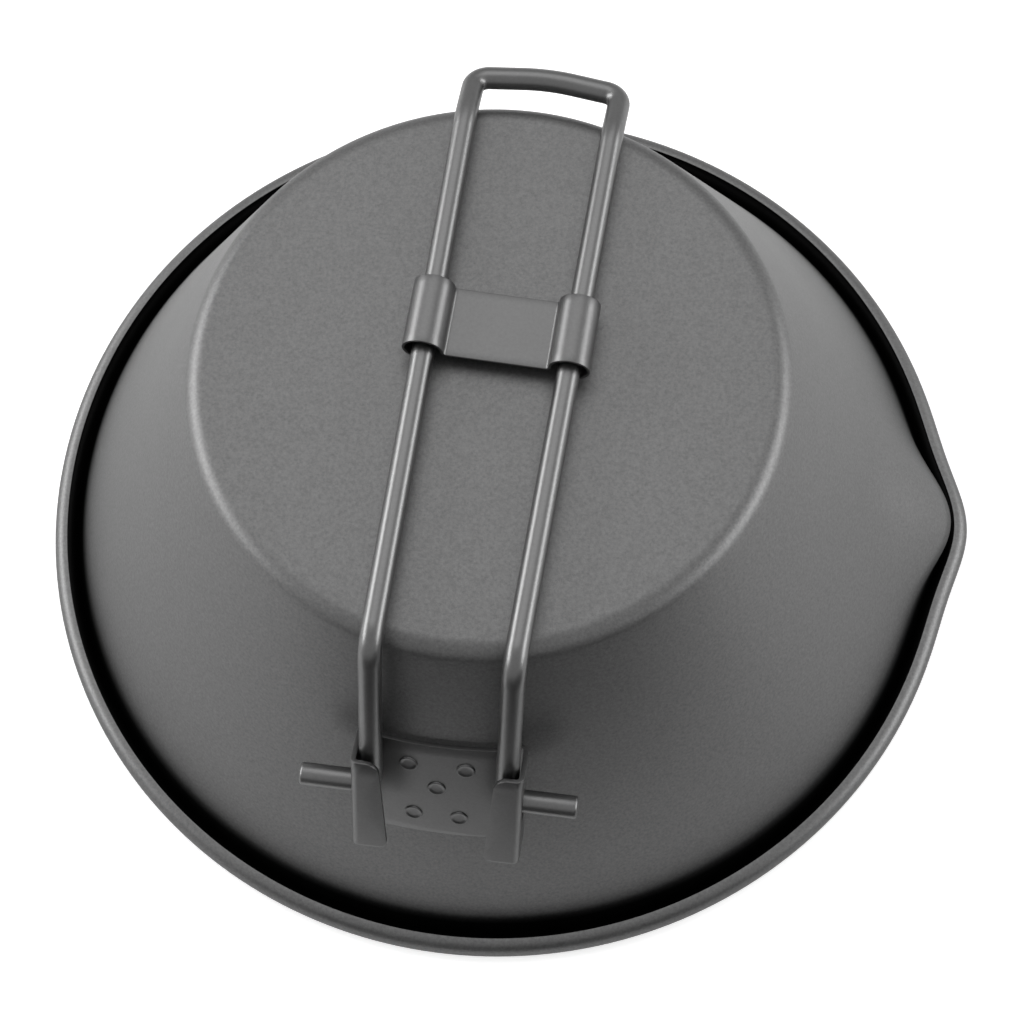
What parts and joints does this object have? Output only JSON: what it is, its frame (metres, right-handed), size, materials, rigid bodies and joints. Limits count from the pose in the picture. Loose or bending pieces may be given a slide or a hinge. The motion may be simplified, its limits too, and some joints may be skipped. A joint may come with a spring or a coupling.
{
  "type": "cooking pot",
  "caption": "Thin-walled camping cooking pot with a rolled rim, pour spout and folding wire handle held by spring wire and a sliding lock clip.",
  "frame": {"origin": "centre of the mouth, in the plane the rim lies on", "axes": "+Z from the mouth towards the base along the pot's axis, +X towards the pour spout's side, -Y towards the handle's hinge; the pot is stored upside down on its rim with the handle folded over the base"},
  "size_m": [0.1812, 0.178, 0.0766],
  "materials": {
    "pot": "bead-blasted titanium sheet",
    "bracket": "satin metal sheet",
    "weld": "heat-darkened spot weld",
    "wire": "drawn wire, satin",
    "clip": "satin metal sheet"
  },
  "bodies": {
    "pot": {"pot_body": "pot", "handle_bracket": "bracket", "spot_welds": "weld"},
    "bail": {"bail_grip": "wire", "bail_legs": "wire"},
    "clip": {"slide_clip": "clip"}
  },
  "joints": [
    {"name": "handle_swing", "type": "hinge", "parent": "pot", "child": "bail", "pos_m": [0, -0.06839, 0.0436], "axis": [1, 0, 0], "range_deg": [0, 180], "deforming": ["bail_legs"]},
    {"name": "clip_slide", "type": "slide", "parent": "bail", "child": "clip", "axis": [0.0279, 0.9996, 0], "range_m": [-0.048, 0.031]}
  ]
}
